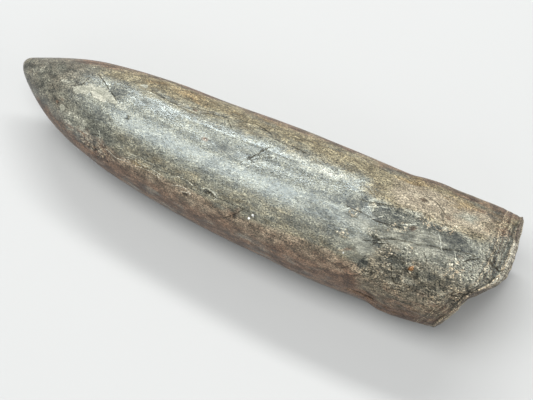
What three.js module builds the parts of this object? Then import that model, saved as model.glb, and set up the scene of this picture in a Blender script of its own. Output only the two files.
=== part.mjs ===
// A belemnite guard: the bullet of solid calcite from inside a squid-like animal, broken off at its wide end.
// It lies on its belly. The apex points along -X and the broken end along +X, the far flank is at +Y, the near
// flank at -Y and the back at +Z. Millimetres. The origin is the middle of its footprint, on the surface it lies on.
import * as THREE from "three";

// The whole guard
const FLATNESS = 0.95; // height of a cross-section over its width
const SQUARENESS = 2.15; // superellipse exponent of a cross-section: 2 is an ellipse
const APEX_LIFT = 11.3; // the belly's rise at the apex
const LIFT_LENGTH = 46; // distance from the apex at which that rise begins
const BELLY_WEAR = 0.5; // depth worn flat where the belly rests
const NOSE_ROUNDING = 2; // length over which the apex is blunted

// Half of the width, and the sideways shift of the axis, at distances from the apex
const OUTLINE = [
  { at: 0, half: 1.5, shift: 5.7 },
  { at: 2, half: 2.4, shift: 5 },
  { at: 4.4, half: 3.7, shift: 4.2 },
  { at: 9.3, half: 6.15, shift: 3 },
  { at: 14.1, half: 8.1, shift: 2.4 },
  { at: 18.8, half: 9.5, shift: 2.1 },
  { at: 27.8, half: 11.25, shift: 1.6 },
  { at: 36.7, half: 12.2, shift: 1.2 },
  { at: 48, half: 12.8, shift: 0.3 },
  { at: 60, half: 13.4, shift: -0.3 },
  { at: 75, half: 13.75, shift: -0.8 },
  { at: 88, half: 13.5, shift: -0.8 },
  { at: 112, half: 13.15, shift: -0.5 },
];

// The broken end: how far it reaches from the apex, from the near flank to the far flank. The near corner is gone.
const BREAK = [
  { across: -16, at: 102 },
  { across: -11.6, at: 104.4 },
  { across: -7.2, at: 106.4 },
  { across: -3.6, at: 109 },
  { across: -1.7, at: 110.9 },
  { across: 0.5, at: 111.8 },
  { across: 5.4, at: 112 },
  { across: 10.5, at: 110.8 },
  { across: 16, at: 109.8 },
];
const BREAK_LEAN = 0.44; // how far the break line moves to the near flank for each millimetre upwards
const BREAK_HEIGHT = 13; // height at which the break line lies as stated
const RIM_BEVEL = 1.4; // length chipped off the upper rim
const RIM_BEVEL_ANGLE = 100; // middle of that bevel around the guard, in degrees
const RIM_BEVEL_SPREAD = 62; // half of its extent around the guard, in degrees
const RIM_BEVEL_INNER = 0.88; // share of the radius at which the bevel meets the broken face
const FACE_ROUGHNESS = 0.7; // relief of the broken face
const FACE_GRAIN = 2.6; // size of its lumps
const RING_STEP = 0.45; // height of a step down between two growth layers on the broken face
const RING_EDGES = [0.78, 0.6]; // where those steps are, as shares of the radius

// The hollow in the broken face, where the chambered cone sat
const HOLLOW = { across: 0.6, height: 13.6, radius: 4.8, depth: 4.6 };

// The dark outer crust, which is left only near the broken end, and reaches farther along the back
const CRUST = { at: 89.5, thickness: 0.55, edge: 1, wander: 2.2 };
const CRUST_TONGUE = { length: 12, angle: 96, spread: 16 };

// Places where the surface flaked or was dented: distance from the apex, angle around the guard in degrees,
// length, width and depth. A negative depth is a lump.
const SCARS = [
  { at: 20, angle: 98, length: 12, width: 4.5, depth: 0.22 },
  { at: 25, angle: 163, length: 9, width: 4.4, depth: 0.35 },
  { at: 57.5, angle: 93, length: 5, width: 2.6, depth: 0.3 },
  { at: 52.3, angle: 141, length: 3.4, width: 2.4, depth: 0.3 },
  { at: 86, angle: 92, length: 17, width: 4.2, depth: 0.5 },
  { at: 89, angle: 139, length: 9, width: 5, depth: -0.4 },
  { at: 95, angle: 133, length: 7, width: 5.4, depth: 0.5 },
  { at: 93.5, angle: 155, length: 7, width: 4.2, depth: -0.4 },
  { at: 102, angle: 126, length: 7.5, width: 4.8, depth: -0.45 },
  { at: 101, angle: 150, length: 7, width: 5, depth: 0.5 },
  { at: 98.5, angle: 74, length: 10, width: 7, depth: 0.35 },
  { at: 87.5, angle: 178, length: 6, width: 3, depth: 0.3 },
  { at: 66, angle: 208, length: 22, width: 6, depth: 0.35 },
  { at: 93.5, angle: 200, length: 10, width: 7, depth: -0.25 },
  { at: 97, angle: 232, length: 13, width: 7, depth: 0.5 },
  { at: 44, angle: 325, length: 16, width: 5, depth: 0.4 },
  { at: 78, angle: 10, length: 15, width: 6, depth: 0.3 },
  { at: 99, angle: 338, length: 12, width: 7, depth: 0.6 },
];
const SCAR_FLOOR = 0.55; // share of a scar's radius that is its flat floor

// A shallow groove along the back, beside the far flank
const GROOVE = { from: 30, to: 66, angle: 68, width: 2.2, depth: 0.25 };

// How the mesh is divided
const COLUMNS = 56;
const NOSE = { length: 8, rows: 9 };
const TRUNK = { length: 62, rows: 22 };
const BROKEN_ROWS = 40;
const FACE_ROWS = 12;

const radians = THREE.MathUtils.degToRad;
const { clamp, smoothstep, lerp } = THREE.MathUtils;

// A smooth curve through the stations: the value of key at x, by cubic pieces with centred slopes.
function through(stations, place, key, x) {
  const last = stations.length - 1;
  let i = 0;
  while (i < last - 1 && x > stations[i + 1][place]) i++;
  const slope = (k) => {
    const a = stations[Math.max(k - 1, 0)];
    const b = stations[Math.min(k + 1, last)];
    return (b[key] - a[key]) / (b[place] - a[place]);
  };
  const [a, b] = [stations[i], stations[i + 1]];
  const span = b[place] - a[place];
  const t = clamp((x - a[place]) / span, 0, 1);
  const [t2, t3] = [t * t, t * t * t];
  return (
    (2 * t3 - 3 * t2 + 1) * a[key] +
    (t3 - 2 * t2 + t) * span * slope(i) +
    (3 * t2 - 2 * t3) * b[key] +
    (t3 - t2) * span * slope(i + 1)
  );
}

// Smooth noise between -1 and 1 over a plane, the same on every run.
function lumps(x, y) {
  const corner = (i, j) => {
    const s = Math.sin(i * 127.1 + j * 311.7) * 43758.5453;
    return 2 * (s - Math.floor(s)) - 1;
  };
  const [i, j] = [Math.floor(x), Math.floor(y)];
  const [u, v] = [smoothstep(x - i, 0, 1), smoothstep(y - j, 0, 1)];
  const low = lerp(corner(i, j), corner(i + 1, j), u);
  const high = lerp(corner(i, j + 1), corner(i + 1, j + 1), u);
  return lerp(low, high, v);
}

// The shortest way round from one angle to another, in radians.
const turn = (a, b) => Math.atan2(Math.sin(a - b), Math.cos(a - b));

// Half of the width of the plain guard at a distance from the apex, blunted at the nose.
function halfWidth(at) {
  const blunt = clamp(at / NOSE_ROUNDING, 0, 1);
  return through(OUTLINE, "at", "half", at) * Math.sqrt(1 - (1 - blunt) ** 2);
}

// Height of the axis above the surface that the guard lies on.
function axisHeight(at) {
  const rise = clamp(1 - at / LIFT_LENGTH, 0, 1);
  return FLATNESS * through(OUTLINE, "at", "half", at) + APEX_LIFT * rise ** 2 - BELLY_WEAR;
}

// Where the crust ends, which wanders around the guard.
function crustEdge(angle) {
  const tongue = Math.exp(-((turn(angle, radians(CRUST_TONGUE.angle)) / radians(CRUST_TONGUE.spread)) ** 2));
  const wander = 0.6 * Math.sin(3 * angle + 2) + 0.4 * Math.sin(7 * angle);
  return CRUST.at + CRUST.wander * wander - CRUST_TONGUE.length * tongue;
}

// How far the real surface stands out from the plain guard.
function relief(at, angle) {
  const radius = halfWidth(at);
  const body = smoothstep(at, 0, 12);
  let out = body * (0.09 * Math.sin(at / 7.3 + angle) + 0.08 * Math.sin(2 * angle - at / 11));
  out += CRUST.thickness * smoothstep(at, crustEdge(angle), crustEdge(angle) + CRUST.edge);
  for (const scar of SCARS) {
    const along = (at - scar.at) / (scar.length / 2);
    const around = (turn(angle, radians(scar.angle)) * radius) / (scar.width / 2);
    out -= scar.depth * (1 - smoothstep(Math.hypot(along, around), SCAR_FLOOR, 1));
  }
  const besideGroove = (turn(angle, radians(GROOVE.angle)) * radius) / (GROOVE.width / 2);
  const alongGroove = smoothstep(at, GROOVE.from, GROOVE.from + 8) * (1 - smoothstep(at, GROOVE.to - 8, GROOVE.to));
  out -= GROOVE.depth * alongGroove * Math.exp(-(besideGroove ** 2));
  return out;
}

// The point of the flank at a distance from the apex and an angle around the guard. Angle 0 is the far flank.
function flankPoint(at, angle) {
  const [c, s] = [Math.cos(angle), Math.sin(angle)];
  const power = 2 / SQUARENESS;
  const half = halfWidth(at);
  const out = relief(at, angle);
  const y = Math.sign(c) * Math.abs(c) ** power * half + c * out;
  const z = Math.sign(s) * Math.abs(s) ** power * half * FLATNESS + s * out;
  return new THREE.Vector3(at, through(OUTLINE, "at", "shift", at) + y, axisHeight(at) + z);
}

// The distance from the apex of the broken face at a place across the guard and a height. share is how far the
// place is from the middle of the face, as a share of the way to the rim at that angle.
function facePosition(y, z, share, angle) {
  const across = y + BREAK_LEAN * (z - BREAK_HEIGHT);
  let at = through(BREAK, "across", "at", clamp(across, BREAK[0].across, BREAK.at(-1).across));
  at += FACE_ROUGHNESS * lumps(y / FACE_GRAIN, z / FACE_GRAIN) * (1 - 0.6 * smoothstep(share, 0.9, 1));
  for (const edge of RING_EDGES) at -= RING_STEP * (1 - smoothstep(share, edge - 0.05, edge));
  const bevel = Math.cos(clamp(turn(angle, radians(RIM_BEVEL_ANGLE)) / radians(RIM_BEVEL_SPREAD), -1, 1) * Math.PI);
  at -= RIM_BEVEL * (0.5 + 0.5 * bevel) * smoothstep(share, RIM_BEVEL_INNER, 1);
  const inHollow = Math.hypot(y - HOLLOW.across, z - HOLLOW.height) / HOLLOW.radius;
  at -= HOLLOW.depth * (1 - smoothstep(inHollow, 0.35, 1));
  return at;
}

// The distance from the apex at which the flank meets the broken face, at one angle.
function rimPosition(angle) {
  let at = 108;
  for (let i = 0; i < 30; i++) {
    const p = flankPoint(at, angle);
    at = lerp(at, facePosition(p.y, p.z, 1, angle), 0.5);
  }
  return at;
}

// Distances from the apex of the rows of the flank, the last of them on the rim. Rows are closest at the nose.
function rowPositions(rim) {
  const rows = [];
  for (let i = 1; i <= NOSE.rows; i++) rows.push(NOSE.length * (i / NOSE.rows) ** 2);
  for (let i = 1; i <= TRUNK.rows; i++) rows.push(NOSE.length + (TRUNK.length * i) / TRUNK.rows);
  const start = rows.at(-1);
  for (let i = 1; i <= BROKEN_ROWS; i++) rows.push(lerp(start, rim, i / BROKEN_ROWS));
  return rows;
}

// One column of points, from beside the apex to the rim and on across the broken face to beside its middle.
function columnPoints(angle, middle) {
  const rim = rimPosition(angle);
  const points = rowPositions(rim).map((at) => flankPoint(at, angle));
  const edge = points.at(-1);
  for (let i = 1; i < FACE_ROWS; i++) {
    const share = 1 - (i / FACE_ROWS) ** 1.15;
    const y = lerp(middle.y, edge.y, share);
    const z = lerp(middle.z, edge.z, share);
    points.push(new THREE.Vector3(facePosition(y, z, share, angle), y, z));
  }
  return points;
}

// The closed surface: an apex, rings of points joined by quads, and a last point in the middle of the broken face.
function rostrumGeometry() {
  const middle = new THREE.Vector3(0, HOLLOW.across, HOLLOW.height);
  middle.x = facePosition(middle.y, middle.z, 0, 0);
  const apex = flankPoint(0, 0);
  const columns = [];
  for (let j = 0; j < COLUMNS; j++) columns.push(columnPoints((j / COLUMNS) * 2 * Math.PI, middle));
  const rows = columns[0].length;
  const points = [apex, ...columns.flat(), middle];
  for (const p of points) p.z = Math.max(p.z, 0);

  const at = (i, j) => 1 + (j % COLUMNS) * rows + i;
  const last = points.length - 1;
  const triangles = [];
  for (let j = 0; j < COLUMNS; j++) {
    triangles.push(0, at(0, j + 1), at(0, j));
    for (let i = 0; i < rows - 1; i++) {
      triangles.push(at(i, j), at(i + 1, j + 1), at(i + 1, j));
      triangles.push(at(i, j), at(i, j + 1), at(i + 1, j + 1));
    }
    triangles.push(last, at(rows - 1, j), at(rows - 1, j + 1));
  }
  const geometry = new THREE.BufferGeometry().setFromPoints(points).setIndex(triangles);
  geometry.computeBoundingBox();
  const centre = geometry.boundingBox.getCenter(new THREE.Vector3());
  geometry.translate(-centre.x, -centre.y, 0);
  geometry.computeVertexNormals();
  return geometry;
}

const fossil = new THREE.MeshStandardMaterial({ color: 0x8c8a7d, roughness: 0.5, metalness: 0 });
const rostrum = new THREE.Mesh(rostrumGeometry(), fossil);
rostrum.name = "rostrum";

const belemnite = new THREE.Group();
belemnite.add(rostrum);

export default belemnite;
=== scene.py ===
# The looks of a belemnite guard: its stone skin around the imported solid, a floor, soft lights and a camera.
# Places on the guard are given as at, the distance from its apex in mm, and angle, the way round in degrees:
# 0 is the far flank, 90 the back, 180 the near flank and 270 the belly.
import math

import bpy
import numpy as np
from mathutils import Matrix, Vector


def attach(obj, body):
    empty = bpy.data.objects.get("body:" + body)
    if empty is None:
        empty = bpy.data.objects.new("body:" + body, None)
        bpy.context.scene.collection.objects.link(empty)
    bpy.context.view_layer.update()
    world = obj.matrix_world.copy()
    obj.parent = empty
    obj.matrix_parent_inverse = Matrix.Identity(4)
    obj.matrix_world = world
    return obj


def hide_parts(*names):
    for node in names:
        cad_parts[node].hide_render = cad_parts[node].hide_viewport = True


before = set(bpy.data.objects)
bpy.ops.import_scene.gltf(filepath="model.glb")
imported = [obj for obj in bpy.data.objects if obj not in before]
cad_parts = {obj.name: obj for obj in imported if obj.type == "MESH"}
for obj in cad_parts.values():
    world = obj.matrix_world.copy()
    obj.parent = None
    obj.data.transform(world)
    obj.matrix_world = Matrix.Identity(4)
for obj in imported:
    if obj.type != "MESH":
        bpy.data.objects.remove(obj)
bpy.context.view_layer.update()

NODE = "rostrum"
MM = 0.001

# The skin's mesh: the size of its cells in mm, and how often its body and its broken end are smoothed
CELL = 0.345
BODY_SMOOTHINGS = 30
BREAK_SMOOTHINGS = 4
BREAK_ZONE = (100, 104)  # between these distances from the apex the body's smoothing fades
CAVITY_REACH = 8  # how many cells round a point its hollowness is judged over
CAVITY_DEPTH = 0.12  # the depth in mm of what counts as a full hollow

# The guard's axis is found from slices of the solid: their spacing, and how far one reaches either way, in mm
SLICE_STEP = 2.0
SLICE_REACH = 2.4
# Its broken rim is found in sectors: their size, and how far one reaches either way, in degrees
SECTOR_STEP = 4.0
SECTOR_REACH = 2.5
RIM_REACH = 3  # how far in from the rim the guard's full width there is looked for, in mm

# The camera, in degrees and metres. It looks at AIM from this far away.
AZIMUTH = 24.03
ELEVATION = 65
DISTANCE = 0.2592
AIM = Vector((0.00486, -0.00163, 0.01042))
LENS = 85
SENSOR = 36

# The soft lights: name, place, size and power, in metres and watts
LIGHTS = [
    ("overhead", (-0.11, -0.1, 0.63), (0.6, 0.36), 4.0),
    ("behind", (-0.11, 0.385, 0.51), (0.6, 0.08), 3.4),
    ("front", (0.05, -0.55, 0.38), (0.6, 0.35), 0.6),
    ("side", (0.55, -0.1, 0.25), (0.4, 0.4), 1.2),
]
SKY = (0.95, 0.97, 1, 1)
SKY_STRENGTH = 0.28
FLOOR_HALF = 1.5  # half the floor's side, in metres


# ---------------------------------------------------------------- what is where on the guard
# Each row is at, angle, length, width and tilt: millimetres, and degrees for angle and tilt.

# Black stain, mostly on the crust, and black spots
CHARCOAL = [
    (25.8, 84, 5.4, 3.6, 10), (80.6, 95, 5.5, 2.8, -8), (79.4, 95.6, 4.4, 3, 0), (81.4, 93, 2.6, 2, 0),
    (87, 95.4, 8, 4, 2), (90, 92, 5, 2, 0), (101, 97, 9, 3.2, 10), (94, 91, 8, 1.6, 0), (102, 105, 6, 2, 0),
    (85.5, 98, 4, 2.4, 0), (85.6, 143, 1.8, 3.4, 10), (70, 262, 30, 7, 4), (30, 236, 16, 5, 0),
    (60, -26, 18, 4, -5), (86.4, 121, 2.4, 1.6, 30), (51.4, 71, 0.8, 0.5, 0), (57.2, 70.6, 0.8, 0.5, 0),
    (73.6, 107.6, 0.6, 0.4, 0),
]
# Where the stone is darker and duller
DUSK = [
    (90, 131, 5, 2.6, -12), (95.5, 141, 6, 3.6, 10), (91.5, 140, 3, 3, 0), (105, 148, 6, 4, 0),
    (94, 136, 12, 8, 0), (11, 117, 6, 3.4, 0), (12.5, 77, 6, 3, 0), (22, 120, 12, 4, 0), (50, 95, 7, 2, 0),
    (44, 70, 6, 1.6, 0), (3, 85, 6, 7, 0), (4.5, 122, 5, 3, 0), (28, 83, 9, 5, 4), (23.6, 84, 2.6, 1.8, 0),
    (63, 60, 9, 2.2, 3), (93, 177, 6, 2, 3), (50, 55, 5, 1.4, -8), (55, 48, 12, 3, 2), (72, 46, 9, 2.4, 0),
    (84, 45, 7, 2.2, 0), (103, 46, 8, 3, 0), (16.4, 88, 3, 1.4, -50), (105.4, 52, 6, 8, 0),
    (8, 100, 10, 9, 0), (13, 151, 8, 3, 0), (6, 60, 8, 3.4, 0), (76, 114, 16, 12, 0),
    (80, 95.4, 6.4, 4.4, -8), (54, 94.6, 16, 3.8, 0), (86, 98, 12, 5, 0), (34, 134, 12, 2, 2),
    (28, 133, 8, 3, 0), (36, 70, 9, 1.4, 4), (47, 63, 10, 1.4, -6), (77, 136, 5, 3, 0), (32, 84, 7, 1.6, 0),
]
# Pale scars
CREAM = [
    (22.2, 95, 6.6, 2.7, 6), (18.6, 99.4, 5, 1.9, -10), (25.6, 97, 2.6, 1.4, 0), (15.7, 135, 1.4, 1.4, 0),
    (83, 93, 1.8, 1, 0), (30, 65, 1.8, 1.2, 0), (97.4, 89, 1, 1.4, 0), (35, 258, 12, 2.6, 4),
    (82, -60, 9, 2.4, 0), (89.2, 106, 1.6, 0.8, 0), (53, 139, 1.2, 0.4, 40),
]
# Where the surface breaks up into pale flakes with dark gaps
FLAKY = [
    (80.4, 104.4, 2, 1.7, 0), (83.6, 91, 2, 1.2, -10), (89.3, 103, 3.2, 2.2, -14), (88.4, 148, 4.5, 3, 0),
    (92.6, 150, 4.5, 2.4, 0), (103.6, 117, 4, 3, 25), (101.6, 117, 3, 3, 0), (102.6, 125, 3, 2.4, 0),
    (92.6, 116, 2, 2, 0), (94.2, 131, 2.8, 2.4, 0), (104, 138, 4, 4, 60), (100, 149, 5, 2.4, 0),
    (85, 115, 2, 1.4, 0), (89, 126, 3, 2, 0), (94.6, 87, 3, 2.6, 0), (80, 125, 3, 1.4, 0),
    (90, 137, 1.6, 1.4, 0), (96.5, 86, 8, 2.4, 0), (25, 156, 8, 3.6, 4), (63.8, 68.4, 3, 1.3, 0),
    (69, 73, 1.2, 0.8, 0),
]
# Grey bloom, ochre dust, and brown and rusty spots
PALE_GREY = [
    (28.2, 97.6, 4, 2, 0), (19.6, 141, 8, 3.6, 0), (6.2, 92, 5, 5, 0), (13.6, 97, 2.6, 1, 0),
    (100.5, 69, 4.4, 2.6, 0), (83, 112, 9, 2.6, 5), (70, 79, 20, 2.6, 0), (95, 176, 5, 1.4, 8),
    (91, 173, 2.6, 0.9, 0), (50, 196, 24, 5, 0), (46, -70, 20, 5, 3), (84, 128, 5, 2.6, 0),
    (91, 86, 4, 1.4, 0), (88.6, 125, 1.6, 1.2, 0), (93, 117, 10, 3, -13),
]
OCHRE = [
    (31, 52, 9, 2.6, 0), (42, 50, 17, 3.4, 0), (56, 46, 7, 2.4, 0), (88, 48, 8, 4, 20), (98, 56, 8, 3, 0),
    (68, 48, 8, 2, 0), (37, 146, 8, 2, 3), (66, -18, 15, 4, 0), (88.4, 148, 3, 1.6, 0),
    (95, 139, 1.8, 1.2, 0),
]
BROWN_SPOTS = [
    (58, 150, 4, 1.8, -50), (15, 124, 1, 0.6, 0), (14, 132, 0.9, 0.6, 0), (26.6, 144, 2.4, 1.4, 40),
    (22.6, 150, 6, 1.4, 0), (97, 76, 2, 1.2, 10), (82, 42, 8, 2.8, 0), (91.6, 69, 1.6, 0.8, 0),
    (26, 153, 11, 4.5, 4), (90, 160, 16, 2.6, 0), (104, 56, 8, 3, 0), (46.8, 95, 1.6, 0.8, 0),
    (106, 50, 8, 9, 0), (107.5, 78, 5, 5, 0), (95, 153, 12, 3.4, 0), (94, 163, 14, 5, 0),
    (81.4, 137, 5, 0.6, -32), (42, 69, 1, 0.6, 0), (91.8, 99, 1.4, 1.2, -40),
]
RUST = [(94.3, 131.6, 1.1, 1.6, 20)]
# Where the crust is smooth, and where its fine lines run across the guard
SMOOTH_CRUST = [(95, 106, 18, 6, -13), (84, 130, 6, 5, 0), (83, 108, 9, 3, 0)]
CROSSWISE = [(101, 140, 12, 12, 0), (106, 110, 4, 14, 0)]
# The field of small pits on the near flank
PIT_FIELD = (25, 159, 10, 4.6, 4)
# White specks: at, angle and radius
SPECKS = [
    (61.3, 146.4, 0.28), (61.9, 142.3, 0.3), (47, 95.2, 0.2), (81.2, 140.6, 0.2), (51.3, 114.4, 0.15),
]

# Bands that run along the guard: the angle of the middle, half the width, how soft the edges are and how far
# they wander, all in degrees, and the seed of the wandering
BANDS = {
    "far_tan": (20, 50, 18, 6, 51),
    "near_tan": (139, 12, 12, 8, 53),
    "crust_tan": (60, 26, 8, 6, 57),
    "belly_tan": (285, 40, 24, 20, 59),
    "rose": (157, 12, 4, 9, 55),
    "sand": (67, 16, 8, 6, 57),
    "far_brown": (24, 24, 14, 18, 61),
    # the near brown band is both a brown stain and painted shade
    "near_brown_and_shade": (188, 33, 15, 14, 63),
    "rough_crust": (150, 46, 8, 14, 63),
    "hairless_crust": (64, 20, 6, 6, 57),
    "dusky_crust": (147, 27, 12, 8, 65),
    "upper_rim": (108, 23, 8, 5, 67),
}

FAR = 9.0  # mm, further from a line than it can matter
# Cracks and dark hairlines: the points along each, as at and angle, and its width in mm
CRACKS = [
    ([(20, 72), (21.4, 77), (23, 83), (24.6, 89), (26, 94)], 0.14),
    ([(18.6, 79), (18, 86), (18, 91), (16.6, 98)], 0.1),
    ([(58.4, 84.6), (58.1, 88), (57.5, 90), (57.4, 93), (56.8, 96)], 0.13),
    ([(60.2, 85), (60.5, 88.6)], 0.07),
    ([(56.4, 94), (57.5, 97.6)], 0.07),
    ([(57.5, 96), (58.2, 93.4)], 0.09),
    ([(59.5, 79.6), (59, 83), (58.4, 86.4)], 0.12),
    ([(60.6, 87.6), (59.4, 90), (58.4, 93)], 0.09),
    ([(52, 60.5), (53.4, 58.4), (55, 57.4), (56.8, 59), (58.6, 63)], 0.12),
    ([(58.8, 66), (61.6, 68), (64, 67), (66, 68.5)], 0.1),
    ([(49.4, 66), (50, 69), (50.6, 72)], 0.11),
    ([(61.8, 66.6), (62.6, 68.4)], 0.12),
    ([(63.4, 66.4), (64.4, 68), (65.4, 67.6)], 0.1),
    ([(48.4, 137), (49, 141), (53, 142), (58, 141), (63, 140)], 0.1),
    ([(59.4, 142), (58.6, 147), (57.4, 153), (56.4, 157)], 0.13),
    ([(81, 91.5), (84, 89), (86.4, 86)], 0.1),
    ([(79, 102), (82, 103), (84.5, 104.6), (87, 104.4), (89, 103)], 0.12),
    ([(85.8, 121), (87, 117.5), (88.4, 115.2), (90, 113.5), (92, 111.6), (94, 110.8)], 0.13),
    ([(94.6, 110), (96.4, 108), (98.4, 107.2), (100, 105), (101.4, 103), (104.6, 102)], 0.12),
    ([(85.3, 118), (86, 120.4), (87.2, 121.4), (88, 120)], 0.12),
    ([(84.6, 123.4), (85.8, 121.4), (86.6, 119)], 0.12),
    ([(86, 124.6), (86.4, 122), (86.2, 119.4)], 0.1),
    ([(103.4, 109), (104.2, 106), (105.2, 104)], 0.16),
    ([(107.2, 104), (108.2, 110), (109.6, 116), (110.6, 118)], 0.2),
    ([(106.4, 97), (108, 99), (109, 98)], 0.15),
    ([(84.2, 181), (86.2, 184), (88.6, 183)], 0.25),
    ([(51.1, 139.4), (52.1, 139.6), (53, 141.4)], 0.16),
    ([(92, 64), (94.5, 68), (96.5, 74)], 0.1),
    ([(24, 143), (26, 138), (27.4, 146)], 0.14),
    ([(95.8, 117), (96.4, 120), (96.6, 124)], 0.1),
    ([(91, 137), (91.6, 143), (92.4, 148), (94, 147), (95.4, 148)], 0.12),
    ([(62, 30), (70, 24), (78, 27), (88, 22)], 0.2),
    ([(46, 228), (54, 233), (60, 229), (69, 235)], 0.2),
]
# Pale scratches and chipped edges, in the same way
SCRATCHES = [
    ([(96.9, 97.6), (97.6, 101), (98.2, 106)], 0.12),
    ([(101.2, 108), (101.7, 111.4)], 0.1),
    ([(84.2, 103.6), (85.2, 99.6)], 0.1),
    ([(90.2, 98), (91.2, 96.6), (92, 95.2)], 0.13),
    ([(82.6, 94.6), (83.8, 92.4), (84.6, 90.6), (86.2, 88.6)], 0.1),
    ([(92.2, 117), (93, 119)], 0.12),
    ([(78, 107), (79, 103.6)], 0.1),
    ([(86.6, 120.6), (87.8, 118.8)], 0.09),
    ([(50.7, 138.8), (51.5, 137.8), (52.4, 138), (53.1, 139.2), (53.8, 141.6), (53.6, 143)], 0.11),
    ([(43.6, 142), (44.6, 139.6), (46.4, 138), (48, 139.6), (48.6, 142)], 0.07),
    ([(44.4, 149), (45.4, 147), (47, 146.4), (47.8, 149), (46.4, 151)], 0.07),
    ([(25.6, 136), (26.2, 140), (25.8, 144), (27, 146)], 0.12),
    ([(59.4, 95.6), (58, 100.6), (56.6, 106.6), (55.2, 113.6)], 0.08),
    ([(32, 71), (35, 73), (38, 73)], 0.1),
    ([(36, 72), (40, 71.4), (44, 71)], 0.12),
    ([(32.6, 146), (34, 143.6), (36, 144.4), (38.4, 143.6), (40.6, 145)], 0.07),
    ([(33.4, 140), (36, 138.6), (39, 139.4)], 0.06),
    ([(35, 148.4), (38, 147), (41, 148.6)], 0.06),
    ([(28.4, 149.6), (30.4, 152), (33.4, 149.4)], 0.09),
]

# Chips and pits: at, angle, length, width and tilt, and then the depth. A negative depth is a lump.
CHIPS = [
    ((52.1, 140.4, 1.3, 0.4, 24), 0.22), ((47, 153, 1, 0.7, 0), 0.3), ((61.3, 146, 0.7, 0.6, 0), -0.12),
    ((61.9, 142, 0.7, 0.6, 0), -0.12), ((30, 107.5, 0.8, 0.6, 0), 0.2), ((88.3, 96, 10, 3.2, 5), 0.16),
    ((79.6, 94, 5.6, 3, -8), 0.12), ((86.6, 121, 3.6, 1, 40), 0.2), ((86.3, 146, 4, 2.6, 20), 0.25),
    ((90, 132, 5, 2, -12), 0.2), ((94.6, 137, 3.5, 2.4, 0), 0.2), ((98.5, 145, 5, 3, 0), 0.25),
    ((94.4, 131, 1.4, 1, 30), -0.2), ((102.6, 124, 4, 2, 25), -0.25), ((92.6, 150, 3, 1.4, 0), -0.2),
    ((87.6, 150, 3, 1.4, 10), -0.15), ((86, 183, 4, 0.9, 5), 0.35), ((58, 150, 2.4, 0.8, 60), 0.15),
    ((20.6, 96, 9, 1.9, 4), -0.08), ((96, 76, 1.8, 0.8, 60), 0.2), ((91.6, 69, 2, 0.8, 0), 0.15),
    ((104.5, 140, 3, 2, 0), 0.3), ((66, 214, 12, 3, 5), 0.18), ((40, 250, 9, 2.6, -6), 0.2),
    ((84, 276, 8, 3, 0), 0.2), ((97, 325, 9, 4, 10), 0.25),
]
# Grooves and ridges: the points along each, its width and its depth in mm. A negative depth is a ridge.
GROOVES = [
    ([(106.8, 92), (107.9, 97), (108.6, 111), (109.4, 122), (109.7, 136)], 0.4, 0.36),
    ([(105.4, 128), (106.4, 138), (105.6, 150)], 0.45, 0.3),
    ([(32, 65), (34, 69), (37, 71), (43, 70), (46, 64), (49, 61), (53, 62), (57, 60)], 0.45, 0.14),
    ([(84, 182), (86.4, 184.5), (89, 183)], 0.5, 0.4),
    ([(59.6, 80), (58.6, 87), (57.4, 94), (56.4, 100)], 0.3, 0.08),
    ([(40, 82), (50, 82), (62, 81.6), (76, 82)], 0.6, -0.08),
    ([(88, 135), (89, 141), (87.4, 148)], 0.5, 0.25),
    ([(92.5, 131), (92, 137), (93, 144)], 0.5, 0.2),
    ([(92, 153), (96, 151), (100, 153)], 0.5, 0.22),
    ([(60, 20), (72, 14), (84, 17)], 0.7, 0.2),
    ([(52, 236), (64, 241), (73, 236)], 0.7, 0.2),
]
# The long shallow trough beside the highlight, in degrees and mm
TROUGH_ANGLE = 91
TROUGH_HALF_WIDTH = 1.9
TROUGH_DEPTH = 0.24
# The ledges by the broken rim: how far each is from it, and how deep, in mm
LEDGES = ((0.8, 0.3), (1.9, 0.22), (3.3, 0.18))
RING_SPACING = 1.35  # of the growth rings on the broken face, in mm


# ---------------------------------------------------------------- noise

def smooth(low, high, x):
    """0 below low, 1 above high, and a smooth ramp between them."""
    t = np.clip((x - low) / (high - low), 0, 1)
    return t * t * (3 - 2 * t)


def lattice(cell, seed):
    """A number from 0 to 1 for each whole-number cell, the same on every run."""
    h = (cell[:, 0] * 73856093) ^ (cell[:, 1] * 19349663) ^ (cell[:, 2] * 83492791) ^ (seed * 2654435761)
    h = (h ^ (h >> 13)) * 1274126177
    return ((h ^ (h >> 16)) & 0xFFFF) / 0xFFFF


def noise(points, size, seed, stretch=1):
    """Smooth noise from -1 to 1, with lumps of a size in mm that are drawn out lengthwise."""
    p = points / (size * np.array([stretch, 1, 1]))
    cell = np.floor(p).astype(np.int64)
    f = p - cell
    f = f * f * (3 - 2 * f)
    total = np.zeros(len(p))
    for corner in np.ndindex(2, 2, 2):
        weight = np.prod(np.where(np.array(corner) == 1, f, 1 - f), axis=1)
        total += weight * lattice(cell + np.array(corner), seed)
    return 2 * total - 1


def layered_noise(points, size, seed, stretch=1):
    """Noise with two finer layers on it, from about -1 to 1."""
    total = 0.57 * noise(points, size, seed, stretch)
    total += 0.29 * noise(points, size / 2.1, seed + 1, stretch)
    return total + 0.14 * noise(points, size / 4.3, seed + 2, stretch)


# ---------------------------------------------------------------- the skin's mesh

def remeshed(source, name):
    """An even mesh over a solid, as a new object."""
    rough = bpy.data.objects.new(name + "_rough", source.data.copy())
    bpy.context.scene.collection.objects.link(rough)
    remesh = rough.modifiers.new("remesh", "REMESH")
    remesh.mode = "VOXEL"
    remesh.voxel_size = CELL * MM
    graph = bpy.context.evaluated_depsgraph_get()
    mesh = bpy.data.meshes.new_from_object(rough.evaluated_get(graph))
    bpy.data.objects.remove(rough)
    skin = bpy.data.objects.new(name, mesh)
    bpy.context.scene.collection.objects.link(skin)
    return skin


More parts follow.
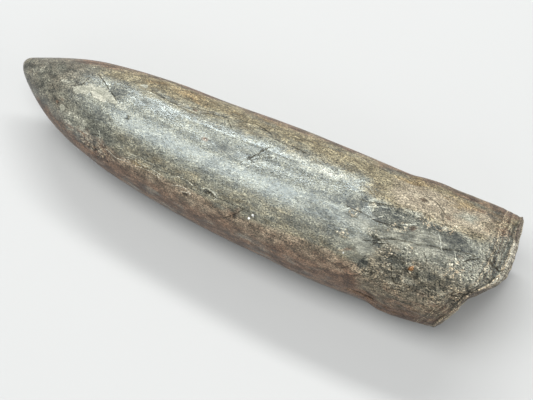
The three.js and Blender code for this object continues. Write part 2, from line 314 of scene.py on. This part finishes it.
def read_points(mesh):
    """The places of a mesh's points, in mm."""
    flat = np.empty(len(mesh.vertices) * 3)
    mesh.vertices.foreach_get("co", flat)
    return flat.reshape(-1, 3) / MM


def write_points(mesh, points):
    """Moves a mesh's points to these places, in mm."""
    mesh.vertices.foreach_set("co", (points * MM).ravel())
    mesh.update()


def read_normals(mesh):
    flat = np.empty(len(mesh.vertices) * 3)
    mesh.vertex_normals.foreach_get("vector", flat)
    return flat.reshape(-1, 3)


def neighbour_mean(mesh, values):
    """The mean of the values at each point's neighbours."""
    ends = np.empty(len(mesh.edges) * 2, np.int32)
    mesh.edges.foreach_get("vertices", ends)
    a, b = ends.reshape(-1, 2).T
    n = len(values)
    total = np.stack([np.bincount(a, v[b], n) + np.bincount(b, v[a], n) for v in values.T], axis=1)
    return total / np.bincount(ends, minlength=n)[:, None]


def relax(mesh, points, steps, amount):
    """Moves each point towards the middle of its neighbours, by its own amount, a number of times."""
    for _ in range(steps):
        points = points + amount[:, None] * (neighbour_mean(mesh, points) - points)
    return points


class Guard:
    """Where each point of the skin is on the guard.

    face is 1 on the broken face. inset is how far a point is from the broken rim lengthwise, and depth is how
    far it is from the rim towards the axis, both in mm.
    """

    def __init__(self, points, normals):
        self.points = points
        solid = read_points(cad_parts[NODE].data)
        apex = solid[:, 0].min()
        stations = np.arange(apex + 1, solid[:, 0].max() - 1, SLICE_STEP)
        slices = [solid[np.abs(solid[:, 0] - x) < SLICE_REACH] for x in stations]
        middles = [(part.min(axis=0) + part.max(axis=0)) / 2 for part in slices]
        across = points[:, 1] - np.interp(points[:, 0], stations, [m[1] for m in middles])
        up = points[:, 2] - np.interp(points[:, 0], stations, [m[2] for m in middles])
        self.at = points[:, 0] - apex
        self.radius = np.hypot(across, up)
        self.angle = (np.degrees(np.arctan2(up, across)) + 90) % 360 - 90
        self.face = smooth(0.3, 0.62, normals[:, 0]) * smooth(97, 100, self.at)
        flank = self.face < 0.5
        self.inset = self.highest(self.at, flank) - self.at
        by_rim = flank & (self.inset < RIM_REACH)
        self.depth = self.highest(self.radius, by_rim) - self.radius

    def highest(self, values, among):
        """The highest of the values of some points that lie at each point's angle."""
        sectors = np.arange(-90, 270, SECTOR_STEP)
        middles = sectors + SECTOR_STEP / 2
        tops = [values[among & (np.abs(self.angle - m) < SECTOR_REACH)].max() for m in middles]
        tops = np.convolve(np.r_[tops[-1], tops, tops[0]], [0.25, 0.5, 0.25], "valid")
        return np.interp(self.angle, middles, tops, period=360)

    def around(self, angle):
        """The distance of each point from an angle, in mm the way round the guard."""
        return np.radians((self.angle - angle + 180) % 360 - 180) * self.radius

    def along(self, start, end, soft):
        """1 between two distances from the apex."""
        return smooth(start - soft, start + soft, self.at) * (1 - smooth(end - soft, end + soft, self.at))

    def band(self, name):
        """1 in a band along the guard, 0 away from it."""
        middle, half, soft, wander, seed = BANDS[name]
        off = np.abs((self.angle - middle + 180) % 360 - 180)
        wave = wander * layered_noise(self.points, 6, seed, 3)
        return 1 - smooth(half - soft, half + soft, off + wave)

    def patch(self, at, angle, length, width, tilt=0, ragged=0.5, edge=0.5, seed=1):
        """1 inside a ragged oval on the flank, 0 outside it. Its length lies lengthwise before the tilt."""
        u, v = self.at - at, self.around(angle)
        c, s = math.cos(math.radians(tilt)), math.sin(math.radians(tilt))
        size = np.hypot((u * c + v * s) * 2 / length, (v * c - u * s) * 2 / width)
        near = size < 2.5  # beyond this the noise can't reach
        out = np.zeros(len(size))
        wobble = layered_noise(self.points[near], 0.3 * width + 0.6, seed)
        out[near] = 1 - smooth(1 - edge, 1 + edge, size[near] + ragged * wobble)
        return out * (1 - self.face)

    def patches(self, table, edge=0.5):
        """The union of many ragged ovals."""
        total = np.zeros(len(self.at))
        for i, row in enumerate(table):
            total = np.maximum(total, self.patch(*row, edge=edge, seed=11 * i + 3))
        return total


# ---------------------------------------------------------------- colours and lines as layers on the skin

def tan_layer(guard, blotches, tip):
    """The tan staining of the far flank, the near side of the back, the crust and the belly."""
    far = guard.band("far_tan")
    near = 0.5 * guard.band("near_tan") * guard.along(28, 84, 4)
    crust = guard.band("crust_tan") * guard.along(80, 106, 3)
    belly = 0.55 * guard.band("belly_tan") + 0.3 * blotches
    return np.max([np.maximum(far, near) * (1 - 0.6 * tip), crust, belly], axis=0)


def brown_layer(guard, blotches):
    """The brown bands low on both flanks, blotchy along their length. The near one is a brown stain that also
    carries painted shade and a painted reddish reflection.
    """
    far = guard.band("far_brown") * smooth(6, 20, guard.at + 4 * blotches) * (0.7 + 0.6 * blotches)
    near = guard.band("near_brown_and_shade") * smooth(2, 9, guard.at + 3 * blotches) * (0.85 + 0.4 * blotches)
    return np.maximum(far, near)


def colour_layers(guard):
    """How much of each stain and texture lies at each point, from 0 to 1 for most."""
    blotches = layered_noise(guard.points, 7, 41, 2.2)
    tip = 1 - smooth(12, 26, guard.at)
    tan = tan_layer(guard, blotches, tip)
    brown = brown_layer(guard, blotches)
    sand = guard.band("sand") * guard.along(86, 106, 4)
    dark_patches = guard.patches(CHARCOAL)
    cream = guard.patches(CREAM)
    dusk = guard.band("dusky_crust") * smooth(84, 88, guard.at + 2 * blotches) * (1 + 0.6 * blotches)
    crust = smooth(82, 90, guard.at + 3 * blotches)
    smooth_crust = guard.patches(SMOOTH_CRUST, edge=0.8)
    grit = np.maximum(np.clip(tan, 0, 1), crust * (1 - 0.8 * dark_patches))
    grit = np.maximum(grit * (1 - 0.6 * brown) * (1 - 0.65 * sand), guard.patch(*PIT_FIELD))
    calm = np.max([0.6 * smooth_crust, 0.6 * cream, 0.3 * sand], axis=0)
    outer_face = guard.face * (1 - smooth(0.8, 3.2, guard.depth + 0.4 * blotches))
    upper_rim = guard.band("upper_rim")
    hairy_crust = crust * (1 - 0.8 * guard.band("hairless_crust")) * (1 - 0.7 * dark_patches)
    specks = [np.hypot(guard.at - at, guard.around(angle)) / radius for at, angle, radius in SPECKS]
    return {
        "tan": tan,
        "rose": guard.band("rose") * guard.along(26, 96, 3),
        "sand": sand,
        "plum": 0.75 * tip + 0.4 * tip * blotches,
        "pale": 0.65 * guard.patches(PALE_GREY, edge=0.8),
        "brown": np.maximum(brown, 0.6 * guard.patches(BROWN_SPOTS, edge=0.8)),
        "ochre": 0.55 * guard.patches(OCHRE, edge=0.9),
        "umber": 0.55 * dusk,
        "charcoal": np.maximum(0.85 * dark_patches, 0.5 * guard.patches(DUSK, edge=0.9)),
        "cream": 0.9 * cream,
        "rust": 0.8 * guard.patches(RUST),
        "face": guard.face,
        "bevel": outer_face * upper_rim,
        "rim": outer_face * (1 - upper_rim),
        "flaky": guard.patches(FLAKY, edge=0.9),
        "grit": grit * (1 - 0.8 * smooth_crust),
        "grain": (1 - 0.3 * brown) * (1 + 0.2 * crust) * (1 - calm) + 0.4 * dark_patches,
        "crosswise": guard.patches(CROSSWISE, edge=0.9),
        "hairy": 0.15 + 0.8 * hairy_crust,
        "speck": np.min(specks, axis=0),
        "crust": crust * (1 - 0.5 * dark_patches),
        "inset": guard.inset * (1 - guard.face) + guard.depth * guard.face,
    }


def line_distance(guard, points):
    """How far each point is from a line on the flank: to its side, either way, and in all, in mm."""
    side, distance = np.full(len(guard.at), FAR), np.full(len(guard.at), FAR)
    for (at0, angle0), (at1, angle1) in zip(points[:-1], points[1:]):
        u, v = guard.at - at0, guard.around(angle0)
        run, rise = at1 - at0, np.radians(angle1 - angle0) * guard.radius
        length = np.hypot(run, rise)
        past = np.maximum(0, np.abs((u * run + v * rise) / length ** 2 - 0.5) - 0.5) * length
        off = (v * run - u * rise) / length
        closer = np.hypot(off, past) < distance
        side = np.where(closer, off, side)
        distance = np.where(closer, np.hypot(off, past), distance)
    return side, distance


def line_layers(guard, name, table):
    """Two layers: how far the nearest line is to the side, in widths of that line, and 1 near that line."""
    nearest, offset = np.full(len(guard.at), FAR), np.full(len(guard.at), FAR)
    near = np.zeros(len(guard.at))
    wander = 0.2 * layered_noise(guard.points, 1.6, 97)
    for points, width in table:
        side, distance = line_distance(guard, points)
        closer = distance < nearest
        nearest = np.where(closer, distance, nearest)
        offset = np.where(closer, (side + wander) / width, offset)
        near = np.where(closer, 1 - smooth(0.35, 0.7, distance), near)
    return {name + "_offset": offset, name + "_near": near * (1 - guard.face)}


# ---------------------------------------------------------------- the small relief

def relief(guard):
    """How far each point of the flank stands out, in mm."""
    points = guard.points
    out = 0.06 * noise(points, 9, 71, 3) + 0.03 * noise(points, 3.2, 72, 2.5)
    trough = np.exp(-(guard.around(TROUGH_ANGLE) / TROUGH_HALF_WIDTH) ** 2)
    out -= TROUGH_DEPTH * trough * smooth(36, 48, guard.at) * (1 - smooth(66, 80, guard.at))
    crust = smooth(84, 90, guard.at) * guard.band("rough_crust")
    rough = np.clip(0.14 + crust + 0.5 * smooth(87, 92, guard.at), 0, 1)
    out += rough * (0.2 * layered_noise(points, 2.6, 75, 1.3) + 0.13 * crust * noise(points, 1.1, 77))
    for i, (place, depth) in enumerate(CHIPS):
        out -= depth * guard.patch(*place, ragged=0.4, edge=0.2, seed=7 * i + 5)
    pits = smooth(0.1, 0.5, layered_noise(points, 0.9, 79)) * guard.patch(*PIT_FIELD, ragged=0.5, edge=0.4)
    out -= 0.22 * pits
    for line, width, depth in GROOVES:
        out -= depth * np.exp(-(line_distance(guard, line)[1] / width) ** 2)
    uneven = 0.6 + 0.4 * noise(points, 3, 81)
    inset = guard.inset + 0.5 * noise(points, 2.4, 83)
    for edge, depth in LEDGES:
        out -= depth * uneven * (1 - smooth(edge - 0.25, edge + 0.25, inset))
    return out * (1 - guard.face)


def face_relief(guard):
    """How far each point of the broken face stands out, in mm: growth rings, radial fibres and lumps."""
    points = guard.points
    turn = np.radians(guard.angle)
    radial = np.stack([guard.radius / 6, 7 * np.cos(turn), 7 * np.sin(turn)], axis=1)
    rings = np.sin(guard.radius * 2 * math.pi / RING_SPACING + 1.6 * noise(points, 4, 91))
    out = 0.05 * rings + 0.14 * noise(radial, 0.7, 93) + 0.22 * layered_noise(points, 2.4, 95)
    return out * guard.face


def hollowness(mesh, height):
    """1 in the hollows of the relief and -1 on its crests."""
    around = height[:, None]
    for _ in range(CAVITY_REACH):
        around = neighbour_mean(mesh, around)
    return np.clip((around[:, 0] - height) / CAVITY_DEPTH, -1, 1)


def make_skin():
    """The guard's surface, in place of the plain solid."""
    skin = remeshed(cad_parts[NODE], "rostrum_skin")
    mesh = skin.data
    points = read_points(mesh)
    apex = points[:, 0].min()
    body = 0.5 * (1 - smooth(BREAK_ZONE[0], BREAK_ZONE[1], points[:, 0] - apex))
    points = relax(mesh, points, BREAK_SMOOTHINGS, np.full(len(points), 0.5))
    points = relax(mesh, points, BODY_SMOOTHINGS, body)
    write_points(mesh, points)
    normals = read_normals(mesh)
    guard = Guard(points, normals)
    height = relief(guard) + face_relief(guard)
    points = points + normals * height[:, None]
    points[:, 2] = np.maximum(points[:, 2], 0)
    write_points(mesh, points)
    mesh.polygons.foreach_set("use_smooth", np.ones(len(mesh.polygons), bool))
    layers = colour_layers(guard)
    layers.update(line_layers(guard, "crack", CRACKS))
    layers.update(line_layers(guard, "scratch", SCRATCHES))
    # how hollow or crested the relief is, for the painted shade and the painted highlight
    layers["hollow"] = hollowness(mesh, height)
    for name, values in layers.items():
        layer = mesh.attributes.new(name, "FLOAT", "POINT")
        layer.data.foreach_set("value", values.astype(np.float32))
    chart = np.stack([guard.at, guard.around(90), np.zeros(len(points))], axis=1)
    layer = mesh.attributes.new("chart", "FLOAT_VECTOR", "POINT")
    layer.data.foreach_set("vector", chart.ravel().astype(np.float32))
    mesh.materials.clear()
    mesh.materials.append(stone_material())
    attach(skin, "root")
    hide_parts(NODE)


# ---------------------------------------------------------------- the stone

def linear(red, green, blue):
    """A colour on screens, from 0 to 255, as the light that the shader counts in."""
    parts = [c / 255 for c in (red, green, blue)]
    return (*[c / 12.92 if c < 0.04045 else ((c + 0.055) / 1.055) ** 2.4 for c in parts], 1)


# The dark and the light tone of each
STONE = (linear(85, 85, 75), linear(120, 120, 106))
CRUST_STONE = (linear(93, 92, 81), linear(134, 133, 119))
# Flakes are cooler or warmer, and the grown layers at the rim crop out in pale and dark lines
FLAKES = (linear(196, 190, 168), linear(180, 160, 130))
PALE_LAYER = linear(158, 144, 120)
DARK_LAYER = linear(84, 68, 54)
PALE_EDGE = linear(196, 196, 180)
SOOT = linear(50, 45, 36)
WHITE_SPECK = linear(245, 245, 240)
PAPER = linear(183, 184, 183)
CALCITE_IOR = 1.66
COOL_SHEEN = (0.84, 0.97, 1, 1)

# For each stain: its two tones, its roughness, its thickness in mm, and how soft and how ragged its edge is
STAINS = {
    "tan": (linear(98, 89, 68), linear(138, 129, 103), 0.5, 0.0, 0.5, 1.6),
    "rose": (linear(99, 87, 71), linear(145, 130, 109), 0.5, 0.0, 0.6, 1.4),
    "sand": (linear(135, 125, 107), linear(160, 150, 130), 0.5, 0.0, 0.5, 1.4),
    "plum": (linear(68, 63, 53), linear(106, 100, 86), 0.44, 0.0, 0.5, 1.6),
    "pale": (linear(122, 121, 107), linear(157, 156, 141), 0.36, 0.04, 0.4, 2.2),
    # brown is darker and redder than the stain alone: painted shade and a painted reddish reflection low on
    # the near flank
    "brown": (linear(75, 57, 44), linear(115, 91, 72), 0.5, 0.0, 0.4, 1.6),
    "ochre": (linear(106, 90, 64), linear(145, 128, 96), 0.55, 0.0, 0.4, 2.2),
    "umber": (linear(82, 76, 62), linear(125, 116, 97), 0.45, 0.0, 0.4, 1.6),
    "charcoal": (linear(57, 56, 49), linear(93, 92, 81), 0.46, -0.05, 0.3, 1.5),
    "cream": (linear(134, 133, 118), linear(172, 170, 154), 0.48, 0.07, 0.2, 1.8),
    "rust": (linear(118, 78, 44), linear(168, 124, 82), 0.6, 0.1, 0.3, 1.6),
    "face": (linear(134, 124, 104), linear(180, 171, 150), 0.55, 0.0, 0.2, 0.8),
    "bevel": (linear(144, 139, 124), linear(175, 170, 154), 0.5, 0.0, 0.3, 1.0),
    "rim": (linear(70, 62, 54), linear(108, 98, 86), 0.5, 0.0, 0.3, 1.0),
}


class Shader:
    """Adds nodes to a material, one call for each."""

    def __init__(self, material):
        material.use_nodes = True
        self.tree = material.node_tree
        self.bsdf = self.tree.nodes["Principled BSDF"]

    def set(self, socket, value):
        if isinstance(value, bpy.types.NodeSocket):
            self.tree.links.new(value, socket)
        elif value is not None:
            socket.default_value = value

    def math(self, kind, a, b=None, c=None):
        node = self.tree.nodes.new("ShaderNodeMath")
        node.operation = kind
        for socket, value in zip(node.inputs, (a, b, c)):
            self.set(socket, value)
        return node.outputs[0]

    def attribute(self, name):
        node = self.tree.nodes.new("ShaderNodeAttribute")
        node.attribute_name = name
        return node.outputs["Fac"]

    def noise(self, size, stretch=1.0, detail=2.0, roughness=0.5, warp=0.0, shift=0.0):
        """Noise from 0 to 1, with lumps of a size in mm that are drawn out lengthwise."""
        coordinates = self.tree.nodes.new("ShaderNodeTexCoord")
        place = self.tree.nodes.new("ShaderNodeVectorMath")
        place.operation = "MULTIPLY_ADD"
        place.inputs[1].default_value = (1 / MM / stretch, 1 / MM, 1 / MM)
        place.inputs[2].default_value = (shift, 2 * shift, -shift)
        self.tree.links.new(coordinates.outputs["Object"], place.inputs[0])
        node = self.tree.nodes.new("ShaderNodeTexNoise")
        self.tree.links.new(place.outputs[0], node.inputs["Vector"])
        node.inputs["Scale"].default_value = 1 / size
        node.inputs["Detail"].default_value = detail
        node.inputs["Roughness"].default_value = roughness
        node.inputs["Distortion"].default_value = warp
        return node.outputs["Fac"]

    def strokes(self, size, length, tilt):
        """Noise from 0 to 1 in strokes on the flank, turned by some degrees from lengthwise. Sizes in mm."""
        chart = self.tree.nodes.new("ShaderNodeAttribute")
        chart.attribute_name = "chart"
        turned = self.tree.nodes.new("ShaderNodeMapping")
        turned.vector_type = "TEXTURE"
        turned.inputs["Rotation"].default_value = (0, 0, math.radians(tilt))
        turned.inputs["Scale"].default_value = (length, size, 1)
        self.tree.links.new(chart.outputs["Vector"], turned.inputs["Vector"])
        node = self.tree.nodes.new("ShaderNodeTexNoise")
        self.tree.links.new(turned.outputs[0], node.inputs["Vector"])
        node.inputs["Scale"].default_value = 1.0
        node.inputs["Detail"].default_value = 1.0
        node.inputs["Distortion"].default_value = 0.3
        return node.outputs["Fac"]

    def ramp(self, value, low, high, start=0.0, end=1.0):
        """A smooth ramp: start where a value is below low, and end where it is above high."""
        node = self.tree.nodes.new("ShaderNodeMapRange")
        node.interpolation_type = "SMOOTHSTEP"
        for socket, x in zip(node.inputs, (value, low, high, start, end)):
            self.set(socket, x)
        return node.outputs["Result"]

    def blend(self, factor, a, b):
        """Mixes numbers."""
        node = self.tree.nodes.new("ShaderNodeMix")
        self.set(node.inputs["Factor"], factor)
        self.set(node.inputs["A"], a)
        self.set(node.inputs["B"], b)
        return node.outputs["Result"]

    def mix(self, factor, a, b):
        """Mixes colours."""
        node = self.tree.nodes.new("ShaderNodeMix")
        node.data_type = "RGBA"
        self.set(node.inputs[0], factor)
        self.set(node.inputs[6], a)
        self.set(node.inputs[7], b)
        return node.outputs[2]

    def gain(self, colour, factor):
        """A colour made brighter or darker, its hue kept."""
        node = self.tree.nodes.new("ShaderNodeVectorMath")
        node.operation = "SCALE"
        self.set(node.inputs[0], colour)
        self.set(node.inputs["Scale"], factor)
        return node.outputs[0]

    def bump(self, height, depth, normal=None):
        """A bump of a depth in mm."""
        node = self.tree.nodes.new("ShaderNodeBump")
        node.inputs["Distance"].default_value = depth * MM
        self.set(node.inputs["Height"], height)
        self.set(node.inputs["Normal"], normal)
        return node.outputs["Normal"]


class Stone(Shader):
    """The stone's colour, roughness, sheen and height in mm, built up from the layers on the skin."""

    def paint(self, share, colour):
        """Lays a colour over a share of what is there."""
        self.colour = self.mix(share, self.colour, colour)

    def shade(self, strength, amount):
        """Brightens the colour by an amount where strength is 1. A negative amount darkens it."""
        self.colour = self.gain(self.colour, self.math("MULTIPLY_ADD", strength, amount, 1.0))

    def lift(self, strength, by):
        """Raises the surface by some mm where strength is 1."""
        self.height = self.math("MULTIPLY_ADD", strength, by, self.height)

    def plain_stone(self):
        self.mottle = self.ramp(self.noise(1.4, 2.0, 4.0, 0.52), 0.36, 0.64)
        self.crust = self.attribute("crust")
        bare, crusted = self.mix(self.mottle, *STONE), self.mix(self.mottle, *CRUST_STONE)
        self.colour = self.mix(self.crust, bare, crusted)
        self.roughness = self.ramp(self.noise(0.8, 2.5, 3.0, 0.6), 0.3, 0.7, 0.235, 0.265)
        self.height = self.math("MULTIPLY", self.mottle, 0.009)

    def stains(self):
        for i, (name, (dark, light, rough, thickness, soft, rag)) in enumerate(STAINS.items()):
            self.ragged = self.math("SUBTRACT", self.noise(2.0, 2.2, 4.0, 0.66, 0.3, 17.0 * i), 0.5)
            here = self.attribute(name)
            raggedness = self.math("MULTIPLY", self.ragged, self.ramp(here, 0.0, 0.3))
            there = self.ramp(self.math("MULTIPLY_ADD", raggedness, rag, here), 0.5 - soft, 0.5 + soft)
            self.paint(there, self.mix(self.mottle, dark, light))
            self.roughness = self.blend(there, self.roughness, rough)
            if thickness:
                self.lift(there, thickness)

    def sheen_by_roughness(self):
        """Rougher stains and the crust shine less."""
        sheen = self.math("MULTIPLY_ADD", self.roughness, -1.6, 1.12)
        self.sheen = self.math("MULTIPLY", sheen, self.math("MULTIPLY_ADD", self.crust, -0.4, 1.0))

    def rim_layers(self):
        """The grown layers that crop out in lines along the broken rim."""
        wave = self.math("MULTIPLY_ADD", self.noise(1.6, 1.0, 2.0), 1.2, self.attribute("inset"))
        lines = self.tree.nodes.new("ShaderNodeTexNoise")
        lines.noise_dimensions = "1D"
        self.set(lines.inputs["W"], self.math("MULTIPLY", wave, 2.1))
        lines.inputs["Scale"].default_value = 1.0
        lines.inputs["Detail"].default_value = 3.0
        layers = lines.outputs["Fac"]
        near_rim = self.ramp(self.attribute("inset"), 2.0, 6.0, 1.0, 0.0)
        self.paint(self.math("MULTIPLY", self.ramp(layers, 0.54, 0.64), near_rim), PALE_LAYER)
        self.paint(self.math("MULTIPLY", self.ramp(layers, 0.46, 0.36), near_rim), DARK_LAYER)
        self.lift(self.math("MULTIPLY", layers, near_rim), 0.4)

    def painted_shade_and_highlight(self):
        """Painted shade in the hollows of the relief and a painted highlight on its crests. The last stain's
        raggedness breaks up their edges too.
        """
        hollow = self.math("ADD", self.attribute("hollow"), self.math("MULTIPLY", self.ragged, 0.8))
        # painted shade: the colour is darker in the hollows
        self.colour = self.gain(self.colour, self.ramp(hollow, 0.15, 0.9, 1.0, 0.45))
        # painted highlight: the colour is brighter on the crests
        self.colour = self.gain(self.colour, self.ramp(hollow, -0.9, -0.25, 1.22, 1.0))

    def flakes(self):
        """Pale flakes with dark gaps between them."""
        crumb = self.noise(0.5, 1.2, 3.0, 0.62, 0.8, 21.0)
        warmth = self.ramp(self.noise(1.0, 1.5, 3.0, 0.7, 0.0, 5.0), 0.4, 0.6)
        flaky = self.math("MULTIPLY_ADD", self.noise(1.4, 1.0, 2.0, 0.6), 1.2, self.attribute("flaky"))
        flaky = self.ramp(flaky, 0.8, 1.3)
        self.shade(self.math("MULTIPLY", self.ramp(crumb, 0.36, 0.47, 1.0, 0.0), flaky), -0.5)
        flakes = self.math("MULTIPLY", self.ramp(crumb, 0.53, 0.6), flaky)
        self.paint(self.math("MULTIPLY", flakes, 0.75), self.mix(warmth, *FLAKES))
        self.lift(self.math("MULTIPLY", crumb, flaky), 0.25)

    def hairs(self):
        """The fine lines of the crust."""
        crosswise = self.attribute("crosswise")
        along, across = self.strokes(0.3, 3.0, -12.0), self.strokes(0.35, 2.6, 72.0)
        hairs = self.blend(crosswise, along, across)
        hairy = self.attribute("hairy")
        self.shade(self.math("SUBTRACT", hairs, 0.5), self.math("MULTIPLY", hairy, 1.8))
        self.lift(self.math("MULTIPLY", hairs, hairy), 0.1)

    def line(self, name, broken):
        """1 on the lines of a name, broken up by noise that takes away a share of them."""
        wobble = self.math("MULTIPLY_ADD", self.noise(0.6, 1.0, 4.0, 0.78), 4.0, -2.0)
        off = self.math("ABSOLUTE", self.math("ADD", self.attribute(name + "_offset"), wobble))
        line = self.math("MULTIPLY", self.ramp(off, 0.5, 1.0, 1.0, 0.0), self.attribute(name + "_near"))
        return self.math("MULTIPLY", line, self.ramp(self.noise(1.2, 1.0, 2.0), 0.35, 0.5, 1 - broken, 1.0))

    def cracks_and_scratches(self):
        crack = self.line("crack", 0.7)
        self.paint(self.math("MULTIPLY", crack, 0.7), SOOT)
        self.sheen = self.math("MULTIPLY", self.sheen, self.math("MULTIPLY_ADD", crack, -0.7, 1.0))
        self.lift(crack, -0.14)
        self.paint(self.math("MULTIPLY", self.line("scratch", 0.6), 0.65), PALE_EDGE)

    def white_specks(self):
        specks = self.ramp(self.attribute("speck"), 0.6, 1.3, 1.0, 0.0)
        self.paint(specks, WHITE_SPECK)
        self.lift(specks, 0.1)

    def grit(self):
        """Pale flecks and dark pits, most of all in the tan staining and on the crust."""
        grit = self.ramp(self.attribute("grit"), 0.0, 1.0, 0.2, 1.0)
        flecks = self.ramp(self.noise(0.5, 1.8, 4.0, 0.75, 0.2, 9.0), 0.54, 0.66)
        flecks = self.math("MULTIPLY", flecks, grit)
        pits = self.ramp(self.noise(0.45, 1.8, 4.0, 0.75, 0.2, 3.0), 0.34, 0.46, 1.0, 0.0)
        pits = self.math("MULTIPLY", pits, grit)
        self.shade(flecks, 0.34)
        self.shade(pits, -0.36)
        self.lift(pits, -0.06)
        self.lift(flecks, 0.04)

    def speckle(self):
        """The finest speckle, dark and light."""
        speckle = self.noise(0.22, 1.5, 1.0, 0.6, 0.5)
        dark = self.math("MULTIPLY", self.ramp(speckle, 0.34, 0.45, 1.0, 0.0), self.attribute("grain"))
        light = self.math("MULTIPLY", self.ramp(speckle, 0.54, 0.66), self.attribute("grain"))
        self.shade(dark, -0.8)
        self.shade(light, 1.3)

    def finish(self):
        """Passes everything on, with crumbs on the crust and glints and brushing all over as bumps."""
        self.set(self.bsdf.inputs["Base Color"], self.colour)
        self.set(self.bsdf.inputs["Roughness"], self.roughness)
        self.bsdf.inputs["IOR"].default_value = CALCITE_IOR
        self.set(self.bsdf.inputs["Specular IOR Level"], self.sheen)
        self.bsdf.inputs["Specular Tint"].default_value = COOL_SHEEN
        films = self.bump(self.height, 1.0)
        crumbs = self.bump(self.math("MULTIPLY", self.noise(0.8, 1.2, 5.0, 0.78), self.crust), 0.4, films)
        glints = self.bump(self.noise(0.26, 1.5, 1.0, 0.6), 0.03, crumbs)
        brushed = self.bump(self.noise(0.2, 12.0, 2.0, 0.5), 0.01, glints)
        self.set(self.bsdf.inputs["Normal"], brushed)


def stone_material():
    """Satin calcite with stains, cracks, fine speckle and a brushed, pitted surface."""
    material = bpy.data.materials.new("calcite_stone")
    stone = Stone(material)
    stone.plain_stone()
    stone.stains()
    stone.sheen_by_roughness()
    stone.rim_layers()
    # painted shade in the hollows and a painted highlight on the crests
    stone.painted_shade_and_highlight()
    stone.flakes()
    stone.hairs()
    stone.cracks_and_scratches()
    stone.white_specks()
    stone.grit()
    stone.speckle()
    stone.finish()
    return material


# ---------------------------------------------------------------- floor, light and camera

def make_floor():
    mesh = bpy.data.meshes.new("floor")
    corners = [(x * FLOOR_HALF, y * FLOOR_HALF, 0) for x, y in ((-1, -1), (1, -1), (1, 1), (-1, 1))]
    mesh.from_pydata(corners, [], [(0, 1, 2, 3)])
    floor = bpy.data.objects.new("floor", mesh)
    bpy.context.scene.collection.objects.link(floor)
    paper = bpy.data.materials.new("floor_paper")
    shader = Shader(paper)
    shader.bsdf.inputs["Base Color"].default_value = PAPER
    shader.bsdf.inputs["Roughness"].default_value = 0.9
    mesh.materials.append(paper)


def soft_box(name, place, size, power):
    """A soft light that faces the fossil, its first side lengthwise. Metres and watts."""
    light = bpy.data.lights.new(name, "AREA")
    light.shape = "RECTANGLE"
    light.size, light.size_y = size
    light.energy = power
    box = bpy.data.objects.new(name, light)
    box.location = place
    away = (Vector(place) - Vector((0, 0, 0.01))).normalized()
    side = away.cross(Vector((1, 0, 0))).normalized()
    box.rotation_euler = Matrix((side.cross(away), side, away)).transposed().to_euler()
    bpy.context.scene.collection.objects.link(box)


def make_world():
    world = bpy.data.worlds.new("studio")
    world.use_nodes = True
    background = world.node_tree.nodes["Background"]
    background.inputs["Color"].default_value = SKY
    background.inputs["Strength"].default_value = SKY_STRENGTH
    bpy.context.scene.world = world
    bpy.context.scene.view_settings.view_transform = "Standard"


def make_camera():
    data = bpy.data.cameras.new("camera")
    data.lens = LENS
    data.sensor_width = SENSOR
    data.clip_start = 0.01
    camera = bpy.data.objects.new("camera", data)
    a, e = math.radians(AZIMUTH), math.radians(ELEVATION)
    back = Vector((math.sin(a) * math.cos(e), -math.cos(a) * math.cos(e), math.sin(e)))
    camera.location = AIM + back * DISTANCE
    camera.rotation_euler = (-back).to_track_quat("-Z", "Y").to_euler()
    bpy.context.scene.collection.objects.link(camera)
    bpy.context.scene.camera = camera


make_skin()
make_floor()
for light in LIGHTS:
    soft_box(*light)
make_world()
make_camera()
